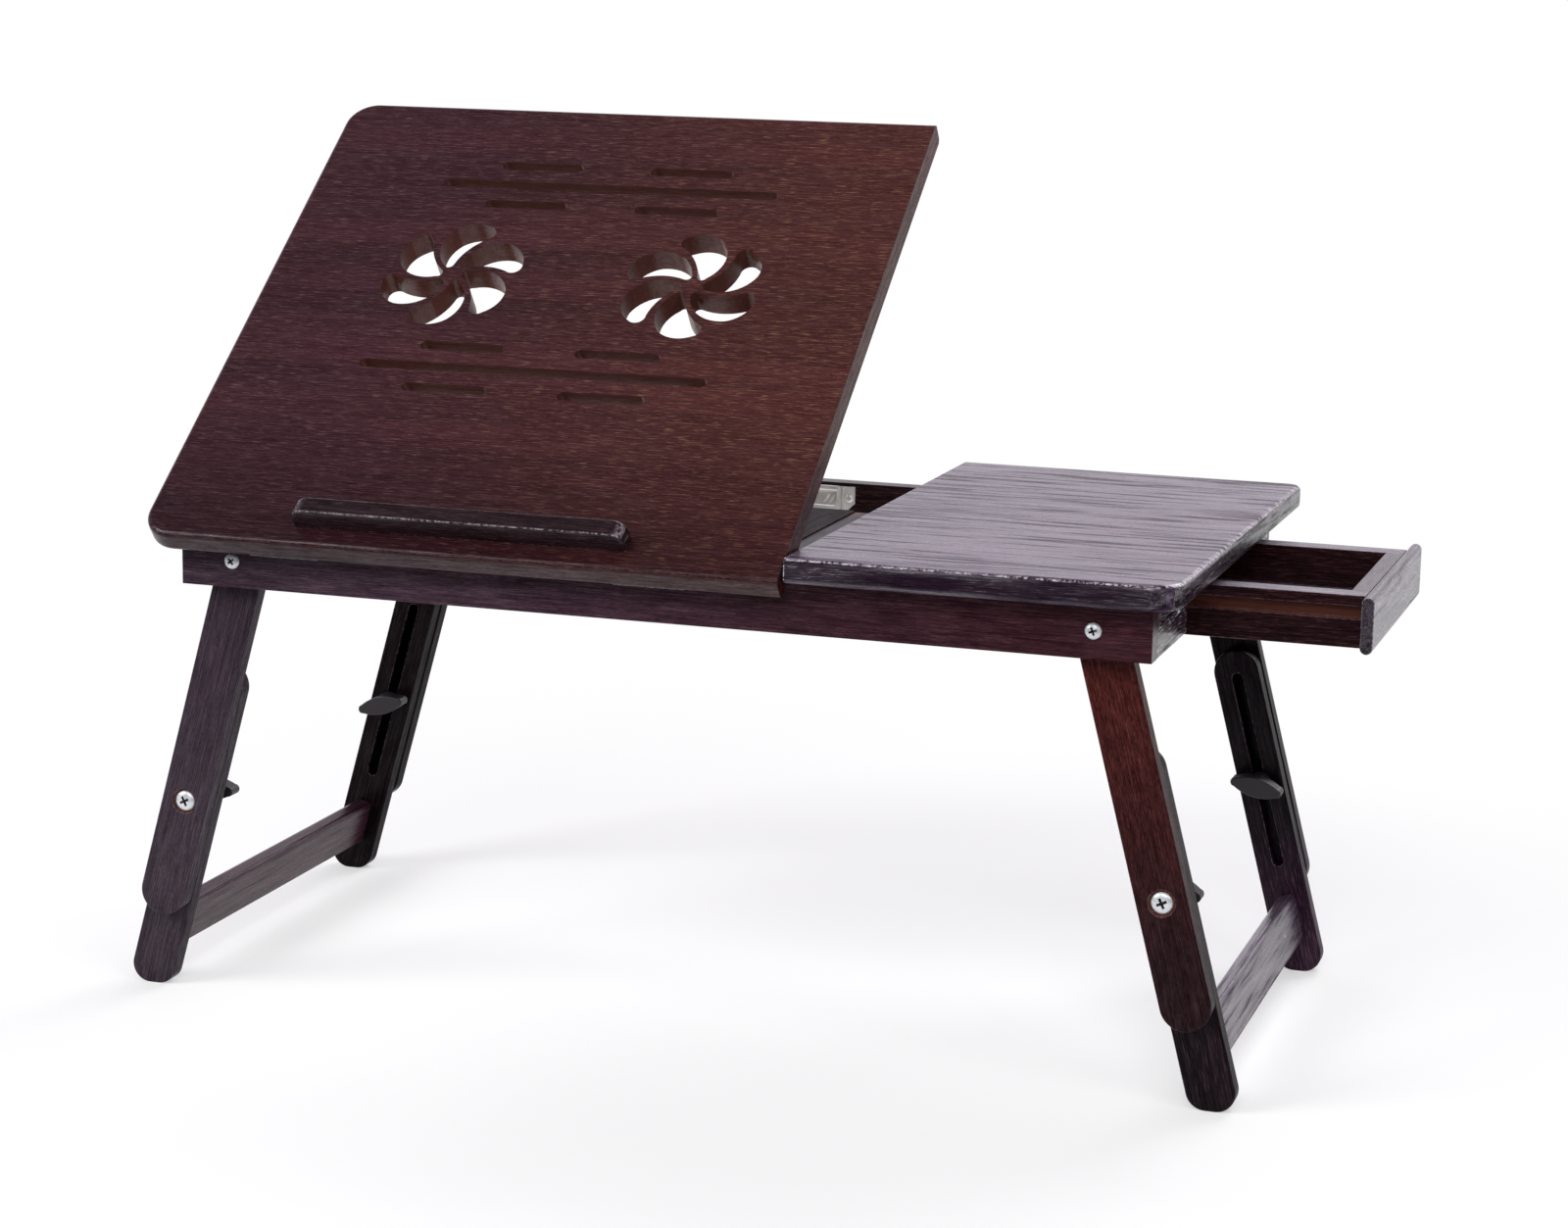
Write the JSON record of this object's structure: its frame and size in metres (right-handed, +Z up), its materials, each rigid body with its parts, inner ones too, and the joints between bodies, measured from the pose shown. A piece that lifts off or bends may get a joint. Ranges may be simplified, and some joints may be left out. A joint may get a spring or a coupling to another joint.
{
  "type": "lap desk",
  "caption": "Folding wooden lap desk with a tilting vented reading panel, a fixed side tray, a side drawer and adjustable folding legs.",
  "frame": {"origin": "on the floor, at the middle of the box the desk fills as it stands, panel raised and drawer pulled out", "axes": "+X to the right along the rails, towards the drawer; +Y away from the user; +Z up"},
  "size_m": [0.6574, 0.3438, 0.466],
  "materials": {
    "stained_bamboo": "satin",
    "zinc_plated_steel": "satin",
    "nickel_plated_steel": "polished",
    "black_plastic": "satin"
  },
  "bodies": {
    "frame": {"front_rail": "stained_bamboo", "back_rail": "stained_bamboo", "left_end_rail": "stained_bamboo", "right_end_block_front": "stained_bamboo", "right_end_block_back": "stained_bamboo", "drawer_guide_front": "stained_bamboo", "drawer_guide_back": "stained_bamboo", "drawer_runner_front": "stained_bamboo", "drawer_runner_back": "stained_bamboo", "center_rail": "stained_bamboo", "center_ledge": "stained_bamboo", "rack_left": "stained_bamboo", "rack_right": "stained_bamboo", "fixed_tray": "stained_bamboo", "leg_pivot_screws": "zinc_plated_steel", "rail_hinge_leaves": "zinc_plated_steel", "rail_leaf_screws": "zinc_plated_steel", "panel_hinge_pins": "zinc_plated_steel", "hook_pins": "zinc_plated_steel", "catch_base": "nickel_plated_steel", "catch_pin": "nickel_plated_steel", "catch_screw": "nickel_plated_steel"},
    "panel": {"reading_panel": "stained_bamboo", "book_stop": "stained_bamboo", "panel_hinge_leaves": "zinc_plated_steel", "panel_leaf_screws": "zinc_plated_steel", "prop_brackets": "nickel_plated_steel", "prop_pivot_pins": "zinc_plated_steel", "catch_striker": "nickel_plated_steel"},
    "prop": {"prop_arm_left": "stained_bamboo", "prop_arm_right": "stained_bamboo", "prop_rod": "zinc_plated_steel"},
    "catch_lever": {"catch_flap": "nickel_plated_steel"},
    "drawer": {"drawer_side_front": "stained_bamboo", "drawer_side_back": "stained_bamboo", "drawer_rear_wall": "stained_bamboo", "drawer_inner_front_wall": "stained_bamboo", "drawer_floor": "stained_bamboo", "drawer_face": "stained_bamboo"},
    "left_leg_upper": {"left_upper_bar_front": "stained_bamboo", "left_upper_bar_back": "stained_bamboo", "left_leg_bolts": "zinc_plated_steel"},
    "left_leg_lower": {"left_lower_bar_front": "stained_bamboo", "left_lower_bar_back": "stained_bamboo", "left_stretcher": "stained_bamboo"},
    "right_leg_upper": {"right_upper_bar_front": "stained_bamboo", "right_upper_bar_back": "stained_bamboo", "right_leg_bolts": "zinc_plated_steel"},
    "right_leg_lower": {"right_lower_bar_front": "stained_bamboo", "right_lower_bar_back": "stained_bamboo", "right_stretcher": "stained_bamboo", "right_stretcher_nail": "zinc_plated_steel"},
    "knob_left_front": {"left_wing_knob_front": "black_plastic"},
    "knob_left_back": {"left_wing_knob_back": "black_plastic"},
    "knob_right_front": {"right_wing_knob_front": "black_plastic"},
    "knob_right_back": {"right_wing_knob_back": "black_plastic"}
  },
  "joints": [
    {"name": "panel_tilt", "type": "hinge", "parent": "frame", "child": "panel", "pos_m": [0, -0.15348, 0.25625], "axis": [1, 0, 0], "range_deg": [-38, 0]},
    {"name": "prop_swing", "type": "hinge", "parent": "panel", "child": "prop", "pos_m": [0, -0.06828, 0.31775], "axis": [1, 0, 0], "range_deg": [-0.1, 76.1]},
    {"name": "left_leg_fold", "type": "hinge", "parent": "frame", "child": "left_leg_upper", "pos_m": [-0.25281, 0, 0.24225], "axis": [0, -1, 0], "range_deg": [0, 105]},
    {"name": "left_leg_length", "type": "slide", "parent": "left_leg_upper", "child": "left_leg_lower", "axis": [0.2588, 0, 0.9659], "range_m": [-0.0597, 0.0458]},
    {"name": "right_leg_fold", "type": "hinge", "parent": "frame", "child": "right_leg_upper", "pos_m": [0.20619, 0, 0.24225], "axis": [0, 1, 0], "range_deg": [0, 105]},
    {"name": "right_leg_length", "type": "slide", "parent": "right_leg_upper", "child": "right_leg_lower", "axis": [-0.2588, 0, 0.9659], "range_m": [-0.0597, 0.0458]},
    {"name": "drawer_slide", "type": "slide", "parent": "frame", "child": "drawer", "axis": [1, 0, 0], "range_m": [-0.088, 0.052]},
    {"name": "catch_flap_turn", "type": "hinge", "parent": "frame", "child": "catch_lever", "pos_m": [0, 0.14112, 0.25315], "axis": [1, 0, 0], "range_deg": [0, 12], "stiffness_Nm_per_rad": 0.02},
    {"name": "left_front_knob_turn", "type": "hinge", "parent": "left_leg_upper", "child": "knob_left_front", "pos_m": [-0.28904, -0.11248, 0.10702], "axis": [0, 1, 0], "continuous": true},
    {"name": "left_back_knob_turn", "type": "hinge", "parent": "left_leg_upper", "child": "knob_left_back", "pos_m": [-0.28904, 0.11752, 0.10702], "axis": [0, 1, 0], "continuous": true},
    {"name": "right_front_knob_turn", "type": "hinge", "parent": "right_leg_upper", "child": "knob_right_front", "pos_m": [0.24243, -0.11248, 0.10702], "axis": [0, 1, 0], "continuous": true},
    {"name": "right_back_knob_turn", "type": "hinge", "parent": "right_leg_upper", "child": "knob_right_back", "pos_m": [0.24243, 0.11752, 0.10702], "axis": [0, 1, 0], "continuous": true}
  ],
  "couplings": [
    {"joint": "prop_swing", "follows": "panel_tilt", "ratio": -2}
  ]
}
